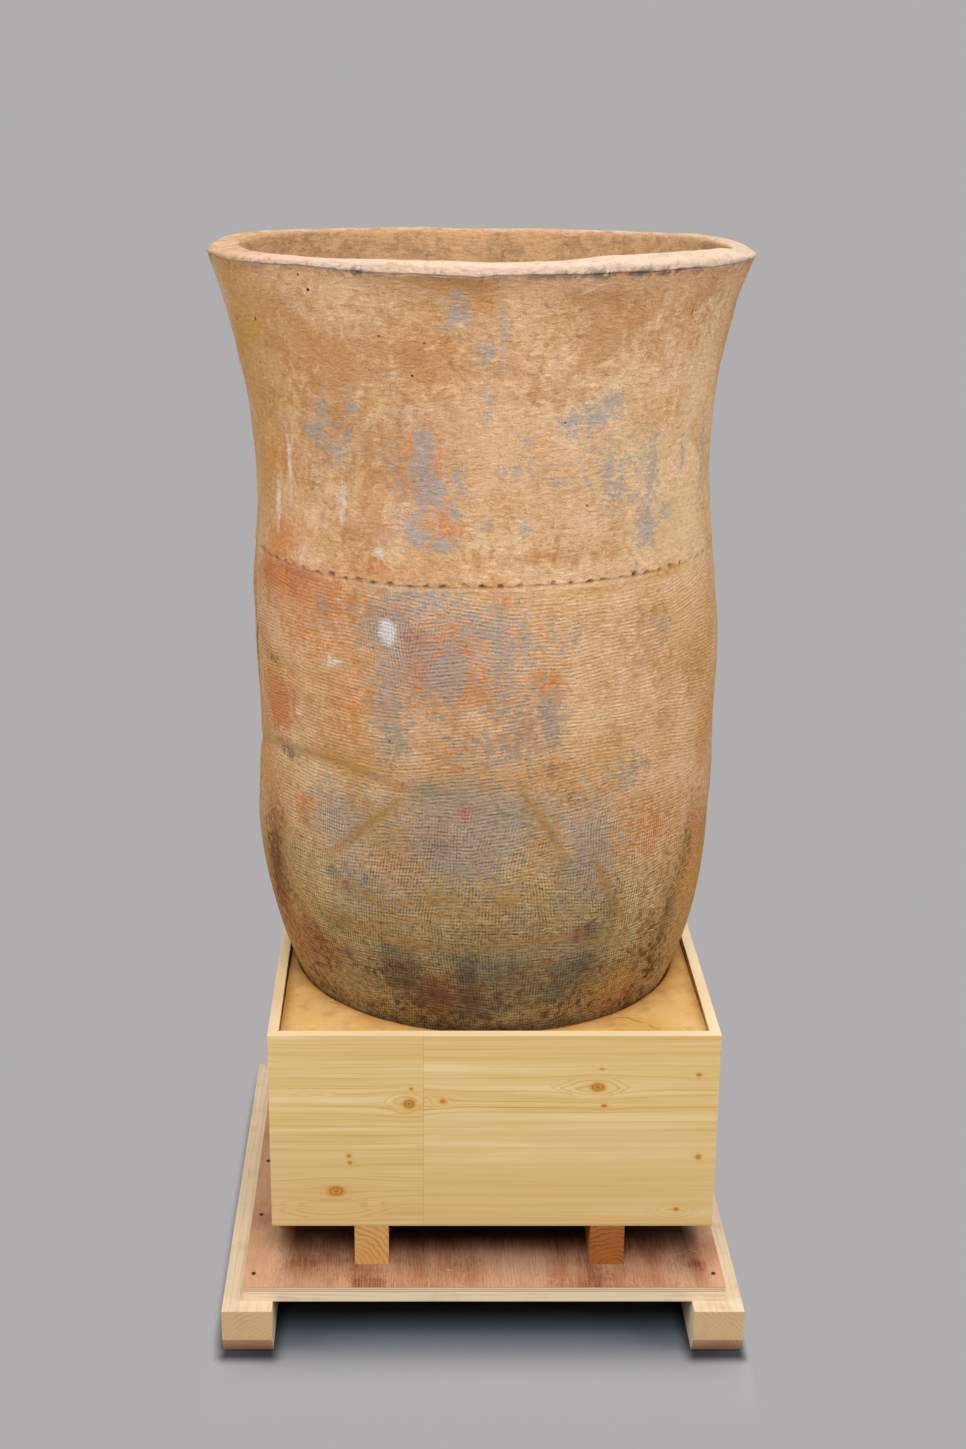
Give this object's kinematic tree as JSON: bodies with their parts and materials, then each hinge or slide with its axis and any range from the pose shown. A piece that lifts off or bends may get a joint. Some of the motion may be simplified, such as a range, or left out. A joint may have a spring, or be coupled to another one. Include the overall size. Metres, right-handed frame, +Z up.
{
  "type": "burial jar",
  "caption": "Large fired clay burial jar with a flared mouth and round base, bedded in foam in an open pine box on bearers and a plywood pallet.",
  "frame": {"origin": "on the floor, under the middle of the whole object's footprint", "axes": "+Z up, out of the jar's mouth; +X to the right and -Y to the front, as the picture shows the object"},
  "size_m": [1.0124, 1, 2.055],
  "materials": {
    "fired_clay": "unglazed low-fired clay, smoothed above and paddled below, matt",
    "yellowed_foam": "aged soft foam padding, matt",
    "pine_panel": "planed edge-glued pine panel, satin",
    "sawn_pine": "sawn pine timber, bare",
    "red_plywood": "reddish hardwood-faced plywood, scuffed",
    "nail_steel": "dull wire nail steel"
  },
  "bodies": {
    "pallet": {"skid_left": "sawn_pine", "skid_right": "sawn_pine", "cross_board_1": "sawn_pine", "cross_board_2": "sawn_pine", "cross_board_3": "sawn_pine", "cross_board_4": "sawn_pine", "cross_board_5": "sawn_pine", "deck_plywood": "red_plywood", "deck_nail_left_1": "nail_steel", "deck_nail_left_2": "nail_steel", "deck_nail_left_3": "nail_steel", "deck_nail_left_4": "nail_steel", "deck_nail_left_5": "nail_steel", "deck_nail_right_1": "nail_steel", "deck_nail_right_2": "nail_steel", "deck_nail_right_3": "nail_steel", "deck_nail_right_4": "nail_steel", "deck_nail_right_5": "nail_steel", "bearer_left": "sawn_pine", "bearer_right": "sawn_pine"},
    "crate": {"box_front": "pine_panel", "box_back": "pine_panel", "box_left": "pine_panel", "box_right": "pine_panel", "box_floor": "pine_panel", "cleat_front_left": "sawn_pine", "cleat_front_right": "sawn_pine", "cleat_back_left": "sawn_pine", "cleat_back_right": "sawn_pine", "foam_sheet_1": "yellowed_foam", "foam_sheet_2": "yellowed_foam", "foam_sheet_3": "yellowed_foam", "foam_sheet_4": "yellowed_foam"},
    "jar": {"jar": "fired_clay"}
  },
  "joints": [
    {"name": "crate_lift", "type": "slide", "parent": "pallet", "child": "crate", "axis": [0, 0, 1], "range_m": [0, 0.3]},
    {"name": "jar_lift", "type": "slide", "parent": "crate", "child": "jar", "axis": [0, 0, 1], "range_m": [0, 0.4]}
  ]
}
